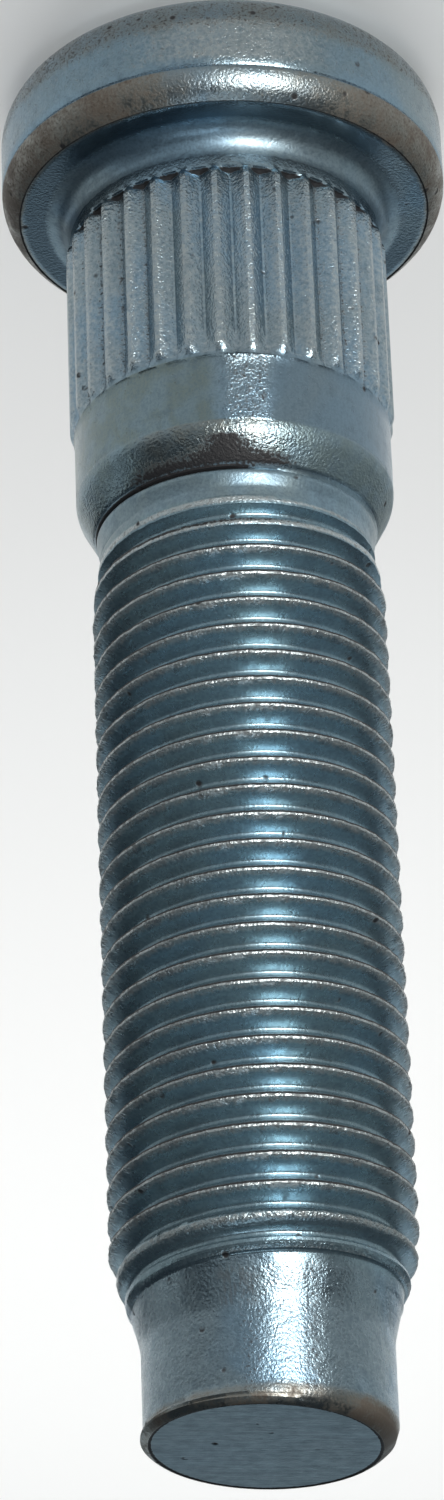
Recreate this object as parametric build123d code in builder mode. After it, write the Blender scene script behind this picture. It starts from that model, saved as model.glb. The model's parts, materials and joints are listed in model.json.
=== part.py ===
"""Serrated wheel stud: one forged, knurled and thread-rolled piece, standing on its head.

The stud's axis is Z. The outer face of the head is at Z = 0 and the point is at the top.
All sizes are in millimetres.
"""

import os
from math import cos, pi, radians, sin, tan

from build123d import *

# Head: a round disc with a broad rounded outer edge and a rim that rolls over to the seat
head_diameter = 19.86
head_height = 5.85
face_edge_radius = 2.1
rim_roll_height = 1.4
rim_roll_width = 0.73

# Shank: the plain bar that shows as a short neck under the head, with a fillet from the seat
shank_diameter = 13.86
head_fillet_radius = 1.12
neck_length = 0.68

# Serrations: straight triangular teeth rolled into the shank
knurl_diameter = 14.28
knurl_length = 9.8
knurl_teeth = 32
tooth_height = 0.41
tooth_crest_width = 0.2
first_space_angle = -2.8
tooth_lead_length = 0.45
tooth_end_length = 0.45

# Collar, the plain shank again, which centres the stud in the hub, and the shoulder above it
collar_length = 3.15
shoulder_radius = 1.6
shoulder_angle = 28.0

# Thread, 1/2 inch by 20 to the inch, shown as a plain cylinder at its outside diameter
thread_diameter = 12.7
thread_pitch = 1.27
thread_length = 30.1
relief_length = 1.2
runout_length = 2.2

# Lead taper and plain dog point
dog_diameter = 10.26
taper_length = 3.85
dog_length = 4.6
point_chamfer_length = 0.5
point_chamfer_width = 0.4

# A rolled thread starts from a blank of the thread's pitch diameter, which the relief shows
pitch_diameter_drop = 0.6495
blank_diameter = thread_diameter - pitch_diameter_drop * thread_pitch

head_radius = head_diameter / 2
seat_radius = head_radius - rim_roll_width
shank_radius = shank_diameter / 2
knurl_radius = knurl_diameter / 2
root_radius = knurl_radius - tooth_height
blank_radius = blank_diameter / 2
thread_radius = thread_diameter / 2
dog_radius = dog_diameter / 2

# A rounding takes at most this share of each face that it runs out on
rounding_share = 0.75
face_edge_limit = rounding_share * min(head_radius, head_height - rim_roll_height)
face_edge = min(face_edge_radius, face_edge_limit)
head_fillet_limit = rounding_share * (seat_radius - shank_radius)
head_fillet = min(head_fillet_radius, head_fillet_limit)

# Heights up the stud, each section standing on the one below it
neck_start = head_height + head_fillet
knurl_start = neck_start + neck_length
knurl_end = knurl_start + knurl_length
collar_end = knurl_end + collar_length
shoulder_turn = radians(shoulder_angle)
shoulder_edge_radius = shank_radius - shoulder_radius * (1 - cos(shoulder_turn))
shoulder_edge_height = collar_end + shoulder_radius * sin(shoulder_turn)
shoulder_end = shoulder_edge_height + (shoulder_edge_radius - blank_radius) / tan(shoulder_turn)
relief_end = shoulder_end + relief_length
thread_start = relief_end + runout_length
thread_end = thread_start + thread_length
dog_start = thread_end + taper_length
stud_length = dog_start + dog_length

# One tooth space, a V cut along the shank that starts with a step at the neck, and whose floor lifts
# out of the metal at the collar
space_width = 2 * pi * knurl_radius / knurl_teeth - tooth_crest_width
cutter_radius = knurl_radius + tooth_height
cutter_half_width = space_width / 2 * (cutter_radius - root_radius) / tooth_height

with BuildPart() as tooth_space:
    with BuildSketch(Plane.XY.offset(knurl_start)):
        with BuildLine():
            Polyline(
                (root_radius, 0),
                (cutter_radius, cutter_half_width),
                (cutter_radius, -cutter_half_width),
                close=True,
            )
        make_face()
    extrude(amount=knurl_length)
    with BuildSketch(Plane.XZ):
        with BuildLine():
            Polyline(
                (root_radius, knurl_start),
                (root_radius, knurl_end - tooth_end_length),
                (shank_radius, knurl_end),
                (cutter_radius, knurl_end),
                (cutter_radius, knurl_start),
                close=True,
            )
        make_face()
    extrude(amount=cutter_half_width, both=True, mode=Mode.INTERSECT)

with BuildPart() as wheel_stud:
    with BuildSketch(Plane.XZ):
        with BuildLine():
            face = Line((0, 0), (head_radius - face_edge, 0))
            face_rounding = JernArc(face @ 1, (1, 0), face_edge, 90)
            rim = Line(face_rounding @ 1, (head_radius, head_height - rim_roll_height))
            rim_roll = TangentArc(rim @ 1, (seat_radius, head_height), tangent=(0, 1))
            seat = Line(rim_roll @ 1, (shank_radius + head_fillet, head_height))
            seat_fillet = JernArc(seat @ 1, (-1, 0), head_fillet, -90)
            shank = Polyline(
                seat_fillet @ 1,
                (shank_radius, knurl_start),
                (knurl_radius, knurl_start + tooth_lead_length),
                (knurl_radius, knurl_end - tooth_end_length),
                (shank_radius, knurl_end),
                (shank_radius, collar_end),
            )
            shoulder = JernArc(shank @ 1, (0, 1), shoulder_radius, shoulder_angle)
            bolt = Polyline(
                shoulder @ 1,
                (blank_radius, shoulder_end),
                (blank_radius, relief_end),
                (thread_radius, thread_start),
                (thread_radius, thread_end),
                (dog_radius, dog_start),
                (dog_radius, stud_length - point_chamfer_length),
                (dog_radius - point_chamfer_width, stud_length),
            )
            point = Line(bolt @ 1, (0, stud_length))
            Line(point @ 1, face @ 0)
        make_face()
    revolve(axis=Axis.Z)
    with PolarLocations(0, knurl_teeth, start_angle=first_space_angle):
        add(tooth_space.part, mode=Mode.SUBTRACT)

wheel_stud.part.label = "wheel_stud"

os.makedirs("parts", exist_ok=True)
export_step(wheel_stud.part, "parts/wheel_stud.step")
print(f"stud length {stud_length:.2f}, thread from {thread_start:.2f} to {thread_end:.2f}")
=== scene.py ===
import json
from math import atan2, cos, degrees, floor, hypot, pi, radians, sin, tan

import bpy
from mathutils import Matrix, Vector, noise


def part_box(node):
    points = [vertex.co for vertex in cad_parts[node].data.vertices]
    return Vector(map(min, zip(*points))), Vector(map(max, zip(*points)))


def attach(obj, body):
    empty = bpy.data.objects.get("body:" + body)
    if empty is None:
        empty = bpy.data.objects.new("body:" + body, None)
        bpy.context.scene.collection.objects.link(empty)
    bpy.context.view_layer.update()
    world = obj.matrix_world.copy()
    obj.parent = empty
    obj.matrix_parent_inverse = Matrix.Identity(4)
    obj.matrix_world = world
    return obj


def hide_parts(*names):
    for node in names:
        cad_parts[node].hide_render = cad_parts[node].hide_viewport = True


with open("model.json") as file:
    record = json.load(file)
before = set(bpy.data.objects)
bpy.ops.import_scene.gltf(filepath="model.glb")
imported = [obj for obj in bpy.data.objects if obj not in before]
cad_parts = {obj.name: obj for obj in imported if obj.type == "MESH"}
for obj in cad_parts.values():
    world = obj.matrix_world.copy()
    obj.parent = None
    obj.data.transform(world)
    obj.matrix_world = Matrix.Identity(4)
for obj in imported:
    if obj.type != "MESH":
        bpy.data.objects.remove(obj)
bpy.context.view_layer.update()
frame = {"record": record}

# Wheel stud
# One piece of steel: cold forged with its round head, rolled with straight serrations and a fine
# right-hand thread, then plated with zinc under a bluish passivation. Its edges are rubbed and rusty.
# All sizes are in millimetres, and mm turns them into Blender's metres.
mm = 0.001
mounts = {mount["name"]: mount for mount in frame["record"]["mounts"]}

# The stud is turned in columns, six to a serration: two on its crest, two in the space beside it, and one on
# each flank. The seam of the turning is on the far side.
teeth = 32
columns_per_tooth = 6
columns = teeth * columns_per_tooth
column_angle = 2 * pi / columns
first_space_angle = radians(-2.8)
space_to_crest_columns = 2.5
first_crest_angle = first_space_angle + space_to_crest_columns * column_angle
seam_angle = first_crest_angle + columns / 4 * column_angle
spin_error = 0.005 * mm


def arc(centre, radius, start_degrees, end_degrees, steps):
    """Points of an arc in the outline's plane of radius and height, from start to end."""
    points = []
    for step in range(steps + 1):
        angle = radians(start_degrees + (end_degrees - start_degrees) * step / steps)
        points.append((centre[0] + radius * cos(angle), centre[1] + radius * sin(angle)))
    return points


def rows_between(start, end, count):
    """Heights of count rows from start to end, with both ends."""
    return [start + (end - start) * row / (count - 1) for row in range(count)]


def smooth_step(value, limits):
    """Rises smoothly from 0 to 1 as a value passes between two limits."""
    share = min(max((value - limits[0]) / (limits[1] - limits[0]), 0.0), 1.0)
    return share * share * (3 - 2 * share)


def near_side_turn(point):
    """How far round the stud a point is, in degrees from the near side, clockwise from above."""
    return degrees(atan2(-point.x, -point.y))


def column_at(point):
    """The column of the mesh that a point is on, counted from the first serration's crest."""
    turn = atan2(point.y, point.x) - first_crest_angle
    return round(turn / column_angle) % columns


def draw_outline(name, outline):
    """Draws an outline of (radius, height) points on the seam, by extruding one vertex along it."""
    bpy.ops.object.select_all(action="DESELECT")
    bpy.ops.mesh.primitive_plane_add(size=mm, enter_editmode=True)
    bpy.context.object.name = name
    bpy.ops.mesh.merge(type="CENTER")
    last = Vector()
    for step, (radius, height) in enumerate(outline):
        point = Vector((radius * cos(seam_angle), radius * sin(seam_angle), height)) * mm
        if step == 0:
            bpy.ops.transform.translate(value=point)
        else:
            bpy.ops.mesh.extrude_region_move(TRANSFORM_OT_translate={"value": point - last})
        last = point
    bpy.ops.mesh.select_all(action="SELECT")
    return bpy.context.object


def turn_outline(name, outline):
    """Turns an outline round the stud's axis, as on a lathe."""
    turned = draw_outline(name, outline)
    bpy.ops.mesh.spin(steps=columns, angle=2 * pi, center=(0, 0, 0), axis=(0, 0, 1))
    bpy.ops.mesh.select_all(action="SELECT")
    bpy.ops.mesh.remove_doubles(threshold=spin_error)
    bpy.ops.object.mode_set(mode="OBJECT")
    for vertex in turned.data.vertices:
        radius = hypot(vertex.co.x, vertex.co.y)
        angle = first_crest_angle + column_at(vertex.co) * column_angle
        vertex.co.x = radius * cos(angle)
        vertex.co.y = radius * sin(angle)
    return turned


# The head: its flat outer face, the rounded edge, the side of the rim, the roll over to the flat seat,
# and the fillet from there to the neck. A fine crease marks each end of the roll.
head_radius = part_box("wheel_stud")[1].x / mm
face_rounding = 2.1
rim_side_start = 2.6
rim_side_rows = 5
rim_top = 4.45
rim_crease_width = 0.12
rim_crease_drop = 0.02
rim_crease_depth = 0.05
rim_roll_start = 3
rim_roll_end = 55.1
seat_height = mounts["head_seat"]["pos_m"][2] / mm
seat_radius = 9.2
seat_rows = 5
seat_row_gap = 0.1
roll_crease_width = 0.12
roll_crease_depth = 0.05
head_fillet = 1.12
collar_radius = mounts["collar"]["dims"]["r_mm"]

face_edge = head_radius - face_rounding
rim_roll_height = seat_height - rim_top
rim_roll_width = head_radius - seat_radius
rim_roll_radius = (rim_roll_width**2 + rim_roll_height**2) / (2 * rim_roll_width)
rim_roll_centre = (head_radius - rim_roll_radius, rim_top)
seat_edge = seat_radius - roll_crease_width
fillet_edge_radius = collar_radius + head_fillet
fillet_end = seat_height + head_fillet
rim_side_heights = rows_between(rim_side_start, rim_top - rim_crease_width, rim_side_rows)
seat_radii = rows_between(seat_edge, fillet_edge_radius + seat_row_gap, seat_rows)

head_outline = [(0, 0), (face_edge / 2, 0)]
head_outline += arc((face_edge, face_rounding), face_rounding, -90, 0, 10)
head_outline += [(head_radius, height) for height in rim_side_heights]
head_outline += [(head_radius - rim_crease_depth, rim_top - rim_crease_drop)]
head_outline += arc(rim_roll_centre, rim_roll_radius, rim_roll_start, rim_roll_end, 10)
head_outline += [(seat_radius - roll_crease_width / 3, seat_height - roll_crease_depth)]
head_outline += [(radius, seat_height) for radius in seat_radii]
head_outline += arc((fillet_edge_radius, fillet_end), head_fillet, 270, 180, 12)

# The plain neck and the serrated band. Each row at the band's two ends gives a height, and the radius
# there of the crests, the spaces and the flanks.
knurl_radius = mounts["serrations"]["dims"]["r_mm"]
root_radius = 6.74
neck_rows = 4
neck_row_gap = 0.15
knurl_start = 7.66
knurl_crest_start = 8.2
knurl_crest_end = 16.75
knurl_end = 17.45
knurl_rows = 10
tooth_start_rows = ((7.77, 6.99, 6.74, 6.8), (7.88, 7.07, 6.7, 6.84), (8.02, 7.12, 6.72, 6.92))
tooth_end_rows = ((16.95, 7.12, 6.75, 6.93), (17.18, 7.04, 6.84, 6.93), (17.36, 6.96, 6.91, 6.93))

neck_heights = rows_between(fillet_end + neck_row_gap, knurl_start, neck_rows)
crest_heights = rows_between(knurl_crest_start, knurl_crest_end, knurl_rows)
knurl_outline = [(collar_radius, height) for height in neck_heights]
knurl_outline += [(crest, height) for height, crest, space, flank in tooth_start_rows]
knurl_outline += [(knurl_radius, height) for height in crest_heights]
knurl_outline += [(crest, height) for height, crest, space, flank in tooth_end_rows]

# The shank that the thread is rolled on, which flares out to the shoulder. The thread's crests are placed
# by the height of one of them on the near side, and its own mesh starts at thread_foot.
blank_radius = 5.94
neck_flare = 0.14
neck_flare_heights = (22.6, 23.55)
thread_pitch = 1.27
thread_root_half_width = 0.111
corner_rounding = 0.05
near_side_crest_height = 26.59
near_side_turns = 0.75
pitches_below = 3

seam_crest_height = near_side_crest_height + thread_pitch * (seam_angle / (2 * pi) - near_side_turns)
root_corner = thread_pitch / 2 - thread_root_half_width + corner_rounding
thread_base = seam_crest_height - pitches_below * thread_pitch - root_corner
thread_foot = thread_base + thread_pitch


def bare_shank_radius(height):
    """Radius of the shank at a height under the thread."""
    return blank_radius + neck_flare * (1 - smooth_step(height, neck_flare_heights))


# The collar, with a small burr where the teeth end, the rounded shoulder, and its lip, which was lapped
# over the shank and leaves a crease there
collar_burr = 0.045
collar_burr_end = 17.56
collar_end = 20.6
collar_rows = 8
collar_row_gap = 0.2
shoulder_radius = 1.6
shoulder_angle = 28.0
shoulder_end = 22.3
lip_start = (6.14, 22.41)
lip_radius = 6.09
lip_height = 22.5
crease_radius = 5.93
crease_height = 22.56
crease_wall = (6.03, 22.62)
crease_end = 22.7

shoulder_turn = radians(shoulder_angle)
shoulder_edge_height = collar_end + shoulder_radius * sin(shoulder_turn)
shoulder_edge_radius = collar_radius - shoulder_radius * (1 - cos(shoulder_turn))
shoulder_end_radius = shoulder_edge_radius - (shoulder_end - shoulder_edge_height) * tan(shoulder_turn)
shoulder_centre = (collar_radius - shoulder_radius, collar_end)
collar_heights = rows_between(collar_burr_end, collar_end - collar_row_gap, collar_rows)

collar_outline = [(collar_radius + collar_burr, knurl_end)]
collar_outline += [(collar_radius, height) for height in collar_heights]
collar_outline += arc(shoulder_centre, shoulder_radius, 0, shoulder_angle, 7)
collar_outline += [(shoulder_end_radius, shoulder_end), lip_start, (lip_radius, lip_height)]
collar_outline += [(crease_radius, crease_height), crease_wall, (bare_shank_radius(crease_end), crease_end)]
collar_outline += [(bare_shank_radius(thread_foot), thread_foot)]

lower_body = turn_outline("lower_body", head_outline + knurl_outline + collar_outline)

# The crease is pressed shut on the near right side, where only a soft step is left
closed_crease_radius = 6.05
crease_closes = (-5, 25)
crease_opens = (120, 150)
crease_reach = 0.01
for vertex in lower_body.data.vertices:
    if abs(vertex.co.z / mm - crease_height) < crease_reach:
        turn = near_side_turn(vertex.co)
        closed = smooth_step(turn, crease_closes) * (1 - smooth_step(turn, crease_opens))
        share = 1 + (closed_crease_radius / crease_radius - 1) * closed
        vertex.co.x *= share
        vertex.co.y *= share


def select_where(piece, test):
    """Selects the vertices of a piece that pass a test of their place, in edit mode."""
    bpy.ops.object.mode_set(mode="EDIT")
    bpy.ops.mesh.select_mode(type="VERT")
    bpy.ops.mesh.select_all(action="DESELECT")
    bpy.ops.object.mode_set(mode="OBJECT")
    for vertex in piece.data.vertices:
        vertex.select = test(vertex.co)
    bpy.ops.object.mode_set(mode="EDIT")


def press_columns(places, radius, bottom, top):
    """Brings the columns at these places of every tooth, between two heights, to a radius."""
    def in_space(point):
        in_rows = (bottom - row_reach) * mm < point.z < (top + row_reach) * mm
        return in_rows and column_at(point) % columns_per_tooth in places
    select_where(lower_body, in_space)
    chosen = [vertex.co.copy() for vertex in lower_body.data.vertices if vertex.select]
    share = radius * mm / hypot(chosen[0].x, chosen[0].y)
    bpy.ops.transform.resize(value=(share, share, 1), center_override=(0, 0, 0))
    bpy.ops.object.mode_set(mode="OBJECT")


def turn_columns(place, share):
    """Turns the columns at one place of every tooth, along the band, by a share of a column."""
    def in_column(point):
        in_rows = (knurl_start + row_reach) * mm < point.z < (knurl_end - row_reach) * mm
        return in_rows and column_at(point) % columns_per_tooth == place
    select_where(lower_body, in_column)
    bpy.ops.transform.rotate(value=-share * column_angle, orient_axis="Z", center_override=(0, 0, 0))
    bpy.ops.object.mode_set(mode="OBJECT")


# The serrations: the spaces are pressed in along the band, and run out at both its ends. They are V grooves
# with a narrow floor, so their columns are drawn together.
row_reach = 0.05
flank_places = (2, 5)
space_places = (3, 4)
flank_radius = (knurl_radius + root_radius) / 2
column_turns = ((2, 0.14), (3, 0.28), (4, -0.28), (5, -0.14))
bpy.context.view_layer.objects.active = lower_body
press_columns(space_places, root_radius, knurl_crest_start, knurl_crest_end)
press_columns(flank_places, flank_radius, knurl_crest_start, knurl_crest_end)
for height, crest, space, flank in tooth_start_rows + tooth_end_rows:
    press_columns(space_places, space, height, height)
    press_columns(flank_places, flank, height, height)
for place, share in column_turns:
    turn_columns(place, share)

# The thread: one pitch of its outline, swept up the shank in a screw. Each pitch has ten rows of vertices,
# five on each side of the crest.
thread_radius = mounts["thread"]["dims"]["r_mm"]
thread_root_radius = 5.58
flank_angle = radians(30)
flank_slope = tan(flank_angle)
flank_foot = thread_pitch / 2 - thread_root_half_width
full_depth = thread_radius - thread_root_radius
crest_crown = 0.02
crest_row_share = 0.4
largest_rounding = 0.25
shallow_thread = (0.01, 0.11)
half_rows = 5
thread_rows = 2 * half_rows
crest_rows = (3, 4, 5, 6)
thread_turns = 30
merge_distance = 0.0002 * mm


def thread_cut(depth):
    """How far a thread of this depth has its true section, from 0 on the plain shank to 1."""
    return min(max((depth - shallow_thread[0]) / (shallow_thread[1] - shallow_thread[0]), 0.0), 1.0)


def thread_row(row, depth, crown):
    """A row's offset along the axis from the middle of the crest, and its share of the thread's depth."""
    side = 1 if row >= half_rows else -1
    place = row - half_rows if side > 0 else half_rows - 1 - row
    root_rounding = min(corner_rounding, depth * largest_rounding)
    crown_share = min(crown / depth, largest_rounding) if depth else 0.0
    root_share = 1 - root_rounding * cos(flank_angle) / depth if depth else 1.0
    crest_edge = flank_foot - depth * flank_slope
    offsets = (
        crest_edge * crest_row_share,
        crest_edge + crown_share * depth * flank_slope,
        (crest_edge + flank_foot) / 2,
        flank_foot - root_rounding / 2,
        flank_foot + corner_rounding,
    )
    depth_share = (0.0, crown_share, 0.5, root_share, 1.0)[place]
    cut = thread_cut(depth)
    even_offset = root_corner * (2 * place + 1) / (thread_rows - 1)
    return side * (offsets[place] * cut + even_offset * (1 - cut)), depth_share * cut


full_rows = [thread_row(row, full_depth, crest_crown) for row in range(thread_rows)]
crest_middle = thread_base + root_corner
section_outline = [(thread_radius - share * full_depth, crest_middle + offset) for offset, share in full_rows]
section_outline += [(section_outline[0][0], section_outline[0][1] + thread_pitch)]
thread = draw_outline("thread", section_outline)
bpy.ops.object.mode_set(mode="OBJECT")
bpy.ops.object.modifier_add(type="SCREW")
screw = thread.modifiers["Screw"]
screw.angle = 2 * pi
screw.screw_offset = thread_pitch * mm
screw.iterations = thread_turns
screw.steps = columns
screw.render_steps = columns
screw.use_merge_vertices = True
screw.merge_threshold = merge_distance
bpy.ops.object.modifier_apply(modifier="Screw")

# The thread rises out of the shank at its foot, and its last crests run down the lead taper. Its first and
# last turns are pressed flat to a ring, where the shank and the point join on.
crest_rise_heights = (thread_foot + 0.3, 26.6)
root_fall_heights = (23.5, 24.7)
thread_end = 56.37
crest_taper_slope = 0.317
last_crest_fade = (58.4, 58.95)
last_crest_crown = 0.1
last_crest_crown_heights = (56.0, 57.0)
last_crest_trim = 0.42
last_crest_trim_heights = (57.3, 58.3)
last_groove_depth = 0.07
depth_refinements = 4
nick_size = 0.45
nick_depth = 0.055
nick_share = 0.15
nicked_depths = (0.05, 0.5)
turn_error = 0.001
dog_radius = 5.13
dog_start = 60.25
taper_slope = 0.2366
taper_fillet = 3.0
taper_arc_turn = atan2(taper_slope, 1.0)
taper_arc_start = dog_start - taper_fillet * tan(taper_arc_turn / 2)


def taper_radius(height):
    """Radius of the plain lead taper at a height."""
    arc_start_radius = dog_radius + taper_fillet * (1 - cos(taper_arc_turn))
    return arc_start_radius + taper_slope * (taper_arc_start - height)


def crest_radius(height):
    """Radius that the thread's crests reach at a height, which is the shank's where it has no thread."""
    rise = smooth_step(height, crest_rise_heights)
    rising = bare_shank_radius(height) + (thread_radius - blank_radius) * rise
    proud = thread_radius - crest_taper_slope * (height - thread_end) - taper_radius(height)
    return min(rising, taper_radius(height) + proud * (1 - smooth_step(height, last_crest_fade)))


def groove_radius(crest_height, side):
    """Radius of the bottom of the groove above or below the crest at a height."""
    groove_height = crest_height + side * thread_pitch / 2
    shank_radius = crest_radius(groove_height)
    fall = smooth_step(groove_height, root_fall_heights)
    if crest_height < thread_end:
        return shank_radius - (shank_radius - thread_root_radius) * fall
    if side < 0:
        return min(thread_root_radius, shank_radius)
    last_groove = last_groove_depth * (1 - smooth_step(crest_height, last_crest_fade))
    return min(thread_root_radius, taper_radius(crest_height) - last_groove)


def thread_depth(crest_height, bottom, side, trim):
    """Depth of the groove beside a crest, measured where its flank meets the crest's edge."""
    depth = crest_radius(crest_height) - bottom
    for refinement in range(depth_refinements):
        edge_offset = flank_foot - trim - max(depth, 0.0) * flank_slope
        depth = crest_radius(crest_height + side * edge_offset) - bottom
    return max(depth, 0.0)


def crest_nick(point, depth):
    """How far a crest is worn down at a point, which is less where the thread is shallow."""
    worn = max(0.0, noise.noise(point / (nick_size * mm)) + nick_share)
    return nick_depth * smooth_step(depth, nicked_depths) * worn


def turn_height(whole_turns, share, offset):
    """Height of a point on the thread, from its turns and its offset within a pitch."""
    if whole_turns == 0:
        return thread_foot + share * offset
    if whole_turns >= thread_turns:
        return thread_base + thread_turns * thread_pitch
    if whole_turns == thread_turns - 1:
        offset *= 1 - share
    return thread_base + (whole_turns + share) * thread_pitch + offset


for vertex in thread.data.vertices:
    column = round((atan2(vertex.co.y, vertex.co.x) - seam_angle) / column_angle) % columns
    share = column / columns
    rise = (vertex.co.z / mm - thread_base) / thread_pitch - share
    whole_turns = floor(rise + turn_error)
    offset = (rise - whole_turns) * thread_pitch
    row = min(range(thread_rows), key=lambda place: abs(full_rows[place][0] + root_corner - offset))
    side = 1 if row >= half_rows else -1
    crest_height = turn_height(whole_turns, share, root_corner)
    bottom = groove_radius(crest_height, side)
    trim = last_crest_trim * smooth_step(crest_height, last_crest_trim_heights) if side > 0 else 0.0
    depth = thread_depth(crest_height, bottom, side, trim)
    crown = crest_crown + last_crest_crown * smooth_step(crest_height, last_crest_crown_heights)
    offset, depth_share = thread_row(row, depth, crown)
    offset -= trim * thread_cut(depth)
    height = turn_height(whole_turns, share, offset + root_corner)
    radius = crest_radius(height) * (1 - depth_share) + bottom * depth_share
    if row in crest_rows:
        radius -= crest_nick(vertex.co, depth)
    angle = seam_angle + column * column_angle
    vertex.co = Vector((radius * cos(angle), radius * sin(angle), height)) * mm

# The plain dog point, turned from the end of the thread to the middle of its end face
dog_edge = 63.9
dog_rows = 10
dog_row_gap = 0.3
point_rim_outline = [(5.13, 64.15), (5.1, 64.27), (5.02, 64.39), (4.9, 64.5), (4.8, 64.57), (4.73, 64.6)]
point_radius = 4.64
point_height = 64.57
point_shares = (1.01, 1.0, 0.975, 0.7, 0.35, 0.0)

taper_foot = thread_base + thread_turns * thread_pitch
taper_arc_end = dog_start + taper_fillet * tan(taper_arc_turn / 2)
taper_arc_centre = (dog_radius + taper_fillet, taper_arc_end)
dog_heights = rows_between(taper_arc_end + dog_row_gap, dog_edge, dog_rows)
point_outline = [(taper_radius(taper_foot), taper_foot)]
point_outline += arc(taper_arc_centre, taper_fillet, 180 + degrees(taper_arc_turn), 180, 5)
point_outline += [(dog_radius, height) for height in dog_heights]
point_outline += point_rim_outline
point_outline += [(point_radius * share, point_height) for share in point_shares]
upper_body = turn_outline("upper_body", point_outline)

# The end was cut a little off square and off centre, so its rim is broader on one side. The rim takes half
# of the shift and tilt, and the end face takes all of it.
point_shift = Vector((0.24, -0.18, 0))
point_tilt = 2.5
point_bottoms = (64.33, 64.1)
end_centre = (0, 0, point_height * mm)
for bottom in point_bottoms:
    select_where(upper_body, lambda point: point.z > bottom * mm)
    bpy.ops.transform.translate(value=point_shift / 2 * mm)
    bpy.ops.transform.rotate(value=radians(-point_tilt / 2), orient_axis="Y", center_override=end_centre)
bpy.ops.object.mode_set(mode="OBJECT")

# The three lengths are one piece of steel
sharp_angle = radians(38)
bpy.ops.object.select_all(action="DESELECT")
for piece in (upper_body, thread, lower_body):
    piece.select_set(True)
bpy.context.view_layer.objects.active = lower_body
bpy.ops.object.join()
stud = bpy.context.object
stud.name = "stud"
stud.data.name = "stud"
bpy.ops.object.mode_set(mode="EDIT")
bpy.ops.mesh.select_all(action="SELECT")
bpy.ops.mesh.remove_doubles(threshold=merge_distance)
bpy.ops.mesh.normals_make_consistent(inside=False)
bpy.ops.object.mode_set(mode="OBJECT")
bpy.ops.object.shade_smooth_by_angle(angle=sharp_angle)

# The serrations keep crisp edges along their crests and floors, though their flanks are too flat for that
# angle
tooth_edge_places = (0, 1, 3, 4)


def on_tooth_edge(edge):
    """True for an edge along a serration's crest or along the floor of a space."""
    ends = [stud.data.vertices[end].co for end in edge.vertices]
    bottom = knurl_crest_start - row_reach
    top = knurl_crest_end + row_reach
    in_rows = all(bottom < end.z / mm < top for end in ends)
    if not in_rows or column_at(ends[0]) != column_at(ends[1]):
        return False
    return column_at(ends[0]) % columns_per_tooth in tooth_edge_places


bpy.ops.object.mode_set(mode="EDIT")
bpy.ops.mesh.select_mode(type="EDGE")
bpy.ops.mesh.select_all(action="DESELECT")
bpy.ops.object.mode_set(mode="OBJECT")
for edge in stud.data.edges:
    edge.select = on_tooth_edge(edge)
bpy.ops.object.mode_set(mode="EDIT")
bpy.ops.mesh.mark_sharp()
bpy.ops.object.mode_set(mode="OBJECT")
bpy.ops.object.modifier_add(type="WEIGHTED_NORMAL")
stud.modifiers["WeightedNormal"].keep_sharp = True
bpy.ops.object.modifier_apply(modifier="WeightedNormal")

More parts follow.
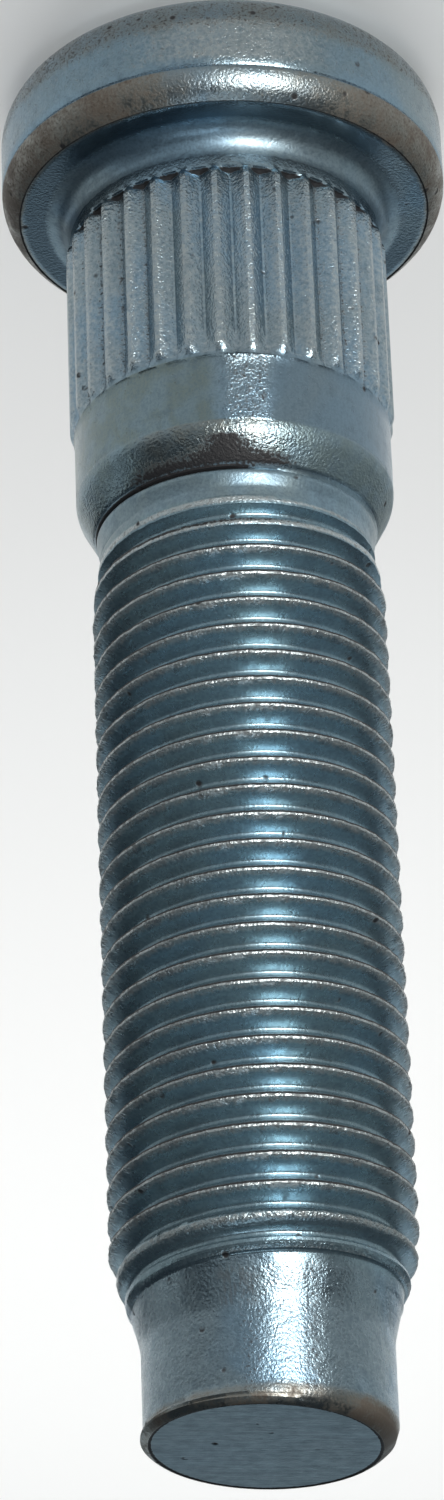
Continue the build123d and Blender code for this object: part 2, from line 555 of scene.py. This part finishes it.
# The places on the stud that wear in their own way. Each lies between two limits of some measures, with a
# soft edge outside them, and may be part of a larger place. The measures are in millimetres, and turn is in
# degrees.
far = 1000.0
crescent_foot = 21.4
crescent_foot_limit = 22.2
crescent_slope = 0.018
crescent_turn = -3
places = {
    "all": {},
    "outer_edge": {"height": (0.9, 2.2, 0.4), "radius": (9.3, far, 0.8)},
    "rim_side": {"height": (2.0, 4.1, 0.4), "radius": (9.8, far, 0.3)},
    # A painted highlight: the rim side is given paler, rubbed-looking colour on its near side, where the main
    # light glints
    "sparkle": {"part_of": "rim_side", "turn": (0, 8, 45)},
    "rim_crease": {"height": (rim_top - 0.1, rim_top, 0.04), "radius": (9.8, far, 0.3)},
    "roll": {"height": (rim_top + 0.1, seat_height, 0.1), "radius": (9.2, far, 0.3)},
    # A painted highlight: the roll is less stained and less dirty where its highlight falls, so its colour is
    # paler there
    "lit_roll": {"part_of": "roll", "turn": (4, 10, 35)},
    "roll_crease": {"height": (5.78, 5.82, 0.03), "radius": (seat_edge + 0.02, seat_radius - 0.03, 0.03)},
    # Painted shade: the seat's colour is darkened, less so on its right, for the shade and dark reflection
    # under the head
    "seat": {"height": (5.8, 5.95, 0.05), "radius": (fillet_edge_radius, seat_edge - 0.1, 0.1)},
    "right_of_seat": {"part_of": "seat", "turn": (35, 90, 25)},
    "fillet": {"height": (seat_height + 0.08, fillet_end, 0.1), "radius": (-far, 8.0, 0.3)},
    # A painted shadow: the recess between the fillet and the teeth is painted black
    "notch": {"height": (knurl_start + 0.03, knurl_start + 0.3, 0.06), "radius": (-far, 6.86, 0.07)},
    "band": {"height": (knurl_crest_start - 0.3, knurl_end - 0.25, 0.1)},
    "tooth": {"part_of": "band", "radius": (knurl_radius - 0.03, far, 0.09)},
    # The spaces are darkened with dark specks: dirt and painted shade in the grooves, with less of it on the
    # near side
    "space": {"part_of": "band", "radius": (-far, root_radius + 0.02, 0.13)},
    "near_space": {"part_of": "space", "turn": (-15, 18, 14)},
    "collar": {"height": (knurl_end, collar_end, 0.15)},
    # A painted reflection: the collar's left is tinted greenish-grey and a little bronze, for the
    # surroundings it mirrors
    "left_of_collar": {"part_of": "collar", "turn": (-far, -9, 7)},
    # A painted highlight: the collar's near side is paler, mottled with dark specks, where the main light is
    # mirrored
    "swirl": {"part_of": "collar", "turn": (0, 12, 6)},
    # Painted shade: the collar's right side is darkened in its colour
    "right_of_collar": {"part_of": "collar", "turn": (18, 80, 4)},
    "shoulder": {"height": (collar_end + 0.1, shoulder_end, 0.15)},
    "worn_shoulder": {"part_of": "shoulder", "turn": (-30, 8, 18)},
    "right_of_shoulder": {"part_of": "shoulder", "turn": (32, far, 20)},
    # A painted reflection: the dark crescent under the shoulder's highlight is painted black, for the dark
    # near side it mirrors
    "crescent": {"height": (-far, 22.25, 0.4), "over_crescent": (0, far, 0.4), "turn": (-34, 14, 26)},
    "crease": {"height": (lip_height, crease_height + 0.03, 0.06), "turn": (-far, -5, 25)},
    "relief": {"height": (crease_height, 24.0, 0.2)},
    "thread": {"height": (24.0, last_crest_fade[0], 0.15)},
    "root": {"part_of": "thread", "radius": (-far, thread_root_radius + 0.02, 0.18)},
    "crest": {"part_of": "thread", "below_crest": (-far, 0.03, 0.09), "from_crest": (-0.1, 0.1, 0.1)},
    "full_crest": {"part_of": "crest", "height": (27.2, far, 1.2)},
    "last_crests": {"part_of": "crest", "height": (57.2, far, 0.8)},
    "risen_thread": {"part_of": "thread", "height": (25.6, far, 1.0)},
    "full_thread": {"part_of": "risen_thread", "height": (-far, 56.2, 0.8)},
    # Painted shade: dark lines are painted along both sides of the thread's crests
    "under_crest": {"part_of": "full_thread", "from_crest": (-0.2, -0.03, 0.02)},
    "over_crest": {"part_of": "full_thread", "from_crest": (0.06, 0.2, 0.02)},
    "hatching": {"height": (58.7, 60.4, 0.1), "turn": (-20, -5, 2)},
    "dog": {"height": (58.6, 64.1, 0.2)},
    # A painted reflection: dark specks on either side of the dog point's highlight, for the dark surroundings
    # beside the main light
    "left_of_highlight": {"part_of": "dog", "turn": (-12, -3, 4)},
    "right_of_highlight": {"part_of": "dog", "turn": (17, 23, 4)},
    "by_rim": {"height": (63.8, 64.2, 0.3)},
    "rim": {"height": (64.2, far, 0.15), "from_point": (4.7, far, 0.15)},
    "right_of_rim": {"part_of": "rim", "turn": (60, far, 40)},
    "end": {"height": (64.3, far, 0.1), "from_point": (-far, 4.55, 0.15)},
    "end_edge": {"height": (64.3, far, 0.1), "from_point": (point_radius - 0.01, point_radius + 0.06, 0.03)},
}

# The coat's finishes: how far it is rubbed and painted with highlights, stained and painted paler where a
# highlight falls, tarnished and tinted with a painted reflection, darkened with painted shade, dirty and
# darkened with painted shade and shadow, sheared, grainy, uneven, matte, hatched with fine scratches, and
# part of the rolled thread. Each is the largest of these sums of the places.
finishes = {
    # Rubbed wear on the crests, teeth and rim, and painted highlights on the rim and the collar
    "rub": (
        {"tooth": 0.6}, {"crest": 0.8, "full_crest": 0.2, "last_crests": -0.4}, {"rim_side": 0.25},
        {"sparkle": 0.65}, {"band": 0.42}, {"swirl": 0.32},
    ),
    # Stains, with less on the roll's painted highlight and a little as a painted reflection on the collar's
    # left
    "stain": (
        {"roll": 0.58, "lit_roll": -0.3}, {"outer_edge": 0.3}, {"left_of_collar": 0.1},
        {"worn_shoulder": 0.34}, {"rim_side": 0.12}, {"tooth": 0.12}, {"crest": 0.144, "full_crest": 0.036},
        {"last_crests": 0.22}, {"by_rim": 0.4}, {"rim": 0.5, "right_of_rim": 0.2},
    ),
    # Grey tarnish, and on the collar's left a painted reflection
    "tarnish": ({"left_of_collar": 1.0}, {"rim_side": 0.35}, {"shoulder": 0.8}, {"relief": 0.4}),
    # Painted shade on the seat and the collar's right
    "dull": ({"right_of_collar": 0.5}, {"seat": 0.95, "right_of_seat": -0.75}),
    # Dirt and specks, and painted shade and shadow in the notch, the spaces, beside the crests, in the
    # crescent and beside the dog's highlight
    "dirt": (
        {"space": 0.45, "near_space": -0.2}, {"root": 0.25}, {"notch": 1.0}, {"rim_crease": 0.45},
        {"roll_crease": 1.0}, {"crease": 1.0}, {"end_edge": 1.0}, {"under_crest": 0.85}, {"over_crest": 0.32},
        {"crescent": 0.82}, {"left_of_highlight": 0.42}, {"right_of_highlight": 0.42},
        {"roll": 0.33, "lit_roll": -0.23}, {"outer_edge": 0.42}, {"rim_side": 0.3}, {"band": 0.26},
        {"collar": 0.28}, {"swirl": 0.42}, {"dog": 0.27},
    ),
    "sheared": ({"end": 1.0},),
    "grain": (
        {"all": 0.3}, {"rim_side": 0.6}, {"sparkle": 1.2}, {"roll": 0.8}, {"swirl": 1.6}, {"shoulder": 1.0},
        {"dog": 0.8}, {"band": 0.8}, {"tooth": 1.3}, {"crest": 1.36, "full_crest": 0.34},
    ),
    "uneven": (
        {"all": 0.03}, {"rim_side": 0.06}, {"roll": 0.06}, {"swirl": 0.5}, {"shoulder": 0.06}, {"dog": 0.3},
    ),
    "matte": (
        {"fillet": 0.16}, {"relief": 0.14}, {"roll": 0.05}, {"dog": 0.05}, {"right_of_shoulder": 0.24},
    ),
    "hatch": ({"hatching": 1.0},),
    "rolled": ({"thread": 1.0},),
}


def fade_band(value, low, high, soft):
    """1 between two limits, falling to 0 over a soft edge outside them."""
    return smooth_step(value, (low - soft, low)) * (1 - smooth_step(value, (high, high + soft)))


def places_at(point):
    """How far a point of the stud is in each of the places, from 0 to 1."""
    radius = hypot(point.x, point.y) / mm
    height = point.z / mm
    turn = near_side_turn(point)
    foot = min(crescent_foot + crescent_slope * abs(turn - crescent_turn), crescent_foot_limit)
    pitches = (height - seam_crest_height) / thread_pitch
    pitches -= (atan2(point.y, point.x) - seam_angle) / (2 * pi)
    measures = {
        "radius": radius,
        "height": height,
        "turn": turn,
        "over_crescent": height - foot,
        "below_crest": crest_radius(height) - radius,
        "from_crest": (pitches - round(pitches)) * thread_pitch,
        "from_point": hypot(point.x / mm - point_shift.x, point.y / mm - point_shift.y),
    }
    shares = {}
    for place, bands in places.items():
        share = 1.0
        for name, band in bands.items():
            if share > 0:
                share *= shares[band] if name == "part_of" else fade_band(measures[name], *band)
        shares[place] = share
    return shares


stud_places = [places_at(vertex.co) for vertex in stud.data.vertices]
for finish, sums in finishes.items():
    values = [
        max(sum(shares[place] * weight for place, weight in terms.items()) for terms in sums)
        for shares in stud_places
    ]
    stud.data.attributes.new(finish, "FLOAT", "POINT").data.foreach_set("value", values)

# The coat: grainy blue-grey zinc, paler where it is rubbed, stained bronze and brown, with dark dirt and
# pits, and with painted highlights, painted reflections and painted shade
zinc_blue = (0.25, 0.375, 0.475, 1)
zinc_green = (0.28, 0.365, 0.41, 1)
zinc_teal = (0.235, 0.355, 0.395, 1)
zinc_grey = (0.21, 0.27, 0.265, 1)
# Dark zinc, for the random darker tone and the scratches, and also the colour of the painted shade
zinc_dark_and_shade = (0.135, 0.195, 0.24, 1)
# Pale rubbed steel, also the colour of the painted highlights
rubbed_steel_and_highlight = (0.46, 0.51, 0.52, 1)
bronze = (0.265, 0.268, 0.245, 1)
rust_brown = (0.1, 0.075, 0.055, 1)
sheared_steel = (0.235, 0.345, 0.395, 1)
# Near-black grime, also the colour of the painted shade and shadow
grime_and_shade = (0.02, 0.02, 0.022, 1)
pit_spacing = 1.3
relief_height = 0.035

zinc = bpy.data.materials.new("zinc_plated_steel")
zinc.use_nodes = True
shader = zinc.node_tree.nodes["Principled BSDF"]


def coat_node(kind, sockets, **settings):
    """Adds a node to the coat, with its settings, and fills its sockets with values or nodes' outputs."""
    node = zinc.node_tree.nodes.new(kind)
    for name, value in settings.items():
        setattr(node, name, value)
    for socket, value in sockets.items():
        if isinstance(value, bpy.types.NodeSocket):
            zinc.node_tree.links.new(value, node.inputs[socket])
        else:
            node.inputs[socket].default_value = value
    return node


def mottle(size, detail=3.0, distortion=0.0, where=None):
    """A cloudy pattern with patches of about this size in millimetres."""
    sockets = {"Scale": 1 / (size * mm), "Detail": detail, "Distortion": distortion}
    sockets["Vector"] = where or object_place
    return coat_node("ShaderNodeTexNoise", sockets).outputs["Fac"]


def between(value, low, high, start=0.0, end=1.0):
    """Goes from start to end as a value passes between two limits."""
    sockets = {"Value": value, "From Min": low, "From Max": high, "To Min": start, "To Max": end}
    return coat_node("ShaderNodeMapRange", sockets, interpolation_type="SMOOTHSTEP").outputs["Result"]


def reckon(operation, first, second):
    """A sum on two values."""
    return coat_node("ShaderNodeMath", {0: first, 1: second}, operation=operation).outputs["Value"]


def blend(share, first, second):
    """A colour between two others."""
    sockets = {"Factor": share, 6: first, 7: second}
    return coat_node("ShaderNodeMix", sockets, data_type="RGBA").outputs[2]


def painted(name):
    """One of the stud's painted finishes."""
    return coat_node("ShaderNodeAttribute", {}, attribute_name=name).outputs["Fac"]


def stretched(scale):
    """The place on the stud, with each axis drawn out or pressed together."""
    return coat_node("ShaderNodeMapping", {"Vector": object_place, "Scale": scale}).outputs["Vector"]


object_place = coat_node("ShaderNodeTexCoord", {}).outputs["Object"]
rub, stain, tarnish, dull, dirt, sheared, grain, uneven, matte, hatch, rolled = [
    painted(finish) for finish in finishes
]
broad = mottle(6.0, 3.0, 0.6)
flecks = mottle(1.1, 5.0, 0.3)
medium = mottle(0.5, 3.0)
fine = mottle(0.12, 2.0)
grit = mottle(0.2, 2.0)
wavy = mottle(0.9, 1.0)
streaks = mottle(0.12, 2.0, 0.0, stretched((1, 1, 0.08)))
scratches = mottle(0.1, 3.0, 0.0, stretched((0.05, 1, 1)))

# Its colour, from the clean coat through wear, stains, painted highlights and painted reflections to the dirt
# and the painted shade on top
coat = blend(between(broad, 0.42, 0.6), zinc_green, zinc_blue)
coat = blend(reckon("MULTIPLY", rolled, 0.5), coat, zinc_teal)
# Greenish-grey tarnish, and the painted reflection on the collar's left
coat = blend(reckon("MULTIPLY", tarnish, between(flecks, 0.35, 0.6, 0.6, 1.0)), coat, zinc_grey)
# Painted shade: the seat and the collar's right are darkened
coat = blend(dull, coat, zinc_dark_and_shade)
coat = blend(between(medium, 0.5, 0.75, 0.0, 0.45), coat, zinc_dark_and_shade)
coat = blend(between(fine, 0.3, 0.6, 0.45, 0.0), coat, zinc_dark_and_shade)
coat = blend(between(streaks, 0.35, 0.6, 0.12, 0.0), coat, zinc_dark_and_shade)
worn_through = reckon("ADD", reckon("MULTIPLY", fine, 0.5), reckon("MULTIPLY", grit, 0.7))
# Rubbed metal is paler, and so are the painted highlights
rubbed_and_highlit = between(reckon("ADD", rub, worn_through), 0.85, 1.5)
coat = blend(rubbed_and_highlit, coat, rubbed_steel_and_highlight)
patchy = reckon("ADD", reckon("MULTIPLY", flecks, 0.9), reckon("MULTIPLY", fine, 0.5))
evenly = reckon("ADD", reckon("MULTIPLY", patchy, 0.4), 0.42)
# Bronze stain, with less on the roll's painted highlight and a little on the collar's painted reflection
stained_and_painted_light = between(reckon("ADD", stain, evenly), 0.8, 1.25)
coat = blend(stained_and_painted_light, coat, bronze)
# Brown rust, with less on the roll's painted highlight
rusty_and_painted_light = between(reckon("ADD", stain, patchy), 1.05, 1.45, 0.0, 0.85)
coat = blend(rusty_and_painted_light, coat, rust_brown)
scratched = between(scratches, 0.35, 0.65, 0.0, 0.6)
coat = blend(reckon("MULTIPLY", sheared, 0.85), coat, blend(scratched, sheared_steel, zinc_dark_and_shade))
pit_sockets = {"Vector": object_place, "Scale": 1 / (pit_spacing * mm)}
specks = coat_node("ShaderNodeTexVoronoi", pit_sockets).outputs["Distance"]
pit_share = reckon("ADD", flecks, reckon("MULTIPLY", stain, 0.35))
pitted = reckon("MULTIPLY", between(specks, 0.07, 0.15, 1.0, 0.0), between(pit_share, 0.5, 0.6))
# Dirt and the painted shade, broken into specks at their edges
grimy_and_shaded = between(reckon("ADD", dirt, reckon("MULTIPLY", fine, 0.8)), 0.75, 1.05)
hatched = reckon("MULTIPLY", hatch, between(streaks, 0.42, 0.6, 0.6, 0.0))
nicked = reckon("MULTIPLY", reckon("MULTIPLY", rub, rolled), between(grit, 0.52, 0.64, 0.0, 0.6))
dark = reckon("MAXIMUM", reckon("MAXIMUM", pitted, grimy_and_shaded), reckon("MAXIMUM", hatched, nicked))
coat = blend(dark, coat, grime_and_shade)
zinc.node_tree.links.new(coat, shader.inputs["Base Color"])

# Rust, dirt and the painted shade are no metal, and they are rougher than the coat
metal = between(reckon("MAXIMUM", rusty_and_painted_light, dark), 0.0, 1.0, 0.96, 0.3)
metal = reckon("SUBTRACT", metal, reckon("MULTIPLY", rolled, 0.12))
zinc.node_tree.links.new(metal, shader.inputs["Metallic"])

roughness = between(medium, 0.3, 0.7, 0.19, 0.26)
roughness = reckon("ADD", reckon("ADD", roughness, matte), reckon("MULTIPLY", rolled, 0.06))
roughness = reckon("ADD", roughness, reckon("MULTIPLY", reckon("MAXIMUM", rusty_and_painted_light, dark), 0.3))
roughness = reckon("ADD", roughness, reckon("MULTIPLY", stained_and_painted_light, 0.06))
roughness = reckon("ADD", roughness, reckon("MULTIPLY", sheared, 0.2))
zinc.node_tree.links.new(roughness, shader.inputs["Roughness"])

# Fine grain, soft dents, pits, and the marks of the shear on the end face
relief = reckon("MULTIPLY", reckon("ADD", fine, reckon("MULTIPLY", medium, 0.3)), grain)
relief = reckon("ADD", relief, reckon("MULTIPLY", reckon("MULTIPLY", wavy, 4.0), uneven))
relief = reckon("SUBTRACT", relief, reckon("MULTIPLY", pitted, 0.8))
relief = reckon("ADD", relief, reckon("MULTIPLY", reckon("MULTIPLY", scratches, sheared), 0.25))
bump = coat_node("ShaderNodeBump", {"Strength": 1.0, "Distance": relief_height * mm, "Height": relief})
zinc.node_tree.links.new(bump.outputs["Normal"], shader.inputs["Normal"])

stud.data.materials.clear()
stud.data.materials.append(zinc)
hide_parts("wheel_stud")
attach(stud, "root")

# Floor
# A wide, plain sheet of pale matte card that the stud stands on, head down.
sheet_size = 12.0
sheet_colour = (0.82, 0.82, 0.81, 1)
sheet_roughness = 0.9
bpy.ops.object.select_all(action="DESELECT")
bpy.ops.mesh.primitive_plane_add(size=sheet_size)
floor_sheet = bpy.context.object
floor_sheet.name = "floor"
pale = bpy.data.materials.new("pale_sheet")
pale.use_nodes = True
pale.node_tree.nodes["Principled BSDF"].inputs["Base Color"].default_value = sheet_colour
pale.node_tree.nodes["Principled BSDF"].inputs["Roughness"].default_value = sheet_roughness
floor_sheet.data.materials.append(pale)

# Light
# The main light is a small soft box close by on the near right. A low card in front of the stud and dim,
# cool boxes in front, overhead, behind and at both sides fill in. The sheet has its own lamps, so that it
# stays pale.
sheet_light = (1.0, 0.99, 0.98)
room_colour = (0.6, 0.8, 1.0, 1)
room_strength = 0.05
floor_only = bpy.data.collections.new("floor_only")
floor_only.objects.link(floor_sheet)
stud_only = bpy.data.collections.new("stud_only")
stud_only.objects.link(stud)


def soft_box(name, place, target, size, power, colour, lights_only=None, shaded_by=None):
    """A rectangular soft light at a place, turned to a target, with its width and height, and its watts."""
    light = bpy.data.lights.new(name, "AREA")
    light.shape = "RECTANGLE"
    light.size = size[0] * mm
    light.size_y = size[1] * mm
    light.energy = power
    light.color = colour
    lamp = bpy.data.objects.new(name, light)
    lamp.location = Vector(place) * mm
    aim = Vector(target) * mm - lamp.location
    lamp.rotation_euler = aim.to_track_quat("-Z", "Y").to_euler()
    lamp.visible_camera = False
    lamp.light_linking.receiver_collection = lights_only
    lamp.light_linking.blocker_collection = shaded_by
    bpy.context.scene.collection.objects.link(lamp)


soft_box("key", (-50, -142, 42), (0, 0, 36), (56, 78), 0.182, (1.0, 0.98, 0.95), stud_only)
soft_box("low_card", (-20, -66, 5), (-14, -50, 40), (42, 110), 0.0092, (0.9, 0.97, 1.0))
soft_box("front_top", (0, -140, 290), (0, 0, 10), (150, 60), 0.08, (0.85, 0.94, 1.0))
soft_box("front_left", (100, -200, 62), (0, 0, 55), (130, 60), 0.0126, (0.9, 0.97, 1.0))
soft_box("back", (0, 430, 150), (0, 0, 60), (600, 240), 0.31, (0.85, 0.95, 1.0))
soft_box("left_fill", (300, 20, 80), (0, 0, 21), (220, 80), 0.034, (0.97, 1.0, 0.98))
soft_box("right_fill", (-300, 30, 90), (0, 0, 30), (300, 180), 0.065, (0.95, 1.0, 0.98))
soft_box("floor_back", (0, 135, 200), (0, 135, 0), (240, 120), 0.25, sheet_light, floor_only)
soft_box("floor_fill", (0, 135, 200), (0, 135, 0), (240, 120), 0.28, sheet_light, floor_only, floor_only)
soft_box("floor_front", (0, -58, 110), (0, -58, 0), (240, 60), 0.018, (0.97, 0.99, 1.0), floor_only)
soft_box("floor_far", (0, -800, 600), (0, -800, 0), (1400, 700), 1.2, sheet_light, floor_only, floor_only)
world = bpy.data.worlds.new("studio")
world.use_nodes = True
world.node_tree.nodes["Background"].inputs["Color"].default_value = room_colour
world.node_tree.nodes["Background"].inputs["Strength"].default_value = room_strength
bpy.context.scene.world = world
bpy.context.scene.view_settings.view_transform = "Standard"

# Camera
# It looks down on the stud from the side of its point, and is held upside down, so the head is at the top.
camera_place = Vector((0, -205.731, 143.702)) * mm
camera_tilt = radians(28.302)
camera_pan = 0.0046854
camera_roll = -0.0369022
focal_length = 131.741
sensor_size = 36.0
nearest_seen = 0.01

ahead = cos(camera_tilt)
forward = Vector((sin(camera_pan) * ahead, cos(camera_pan) * ahead, -sin(camera_tilt)))
level = forward.cross(Vector((0, 0, 1))).normalized()
upward = level.cross(forward)
picture_right = -(level * cos(camera_roll) + upward * sin(camera_roll))
picture_up = level * sin(camera_roll) - upward * cos(camera_roll)
camera = bpy.data.cameras.new("camera")
camera.lens = focal_length
camera.sensor_width = sensor_size
camera.sensor_fit = "AUTO"
camera.clip_start = nearest_seen
viewer = bpy.data.objects.new("camera", camera)
camera_turn = Matrix((picture_right, picture_up, -forward)).transposed().to_4x4()
viewer.matrix_world = Matrix.Translation(camera_place) @ camera_turn
bpy.context.scene.collection.objects.link(viewer)
bpy.context.scene.camera = viewer
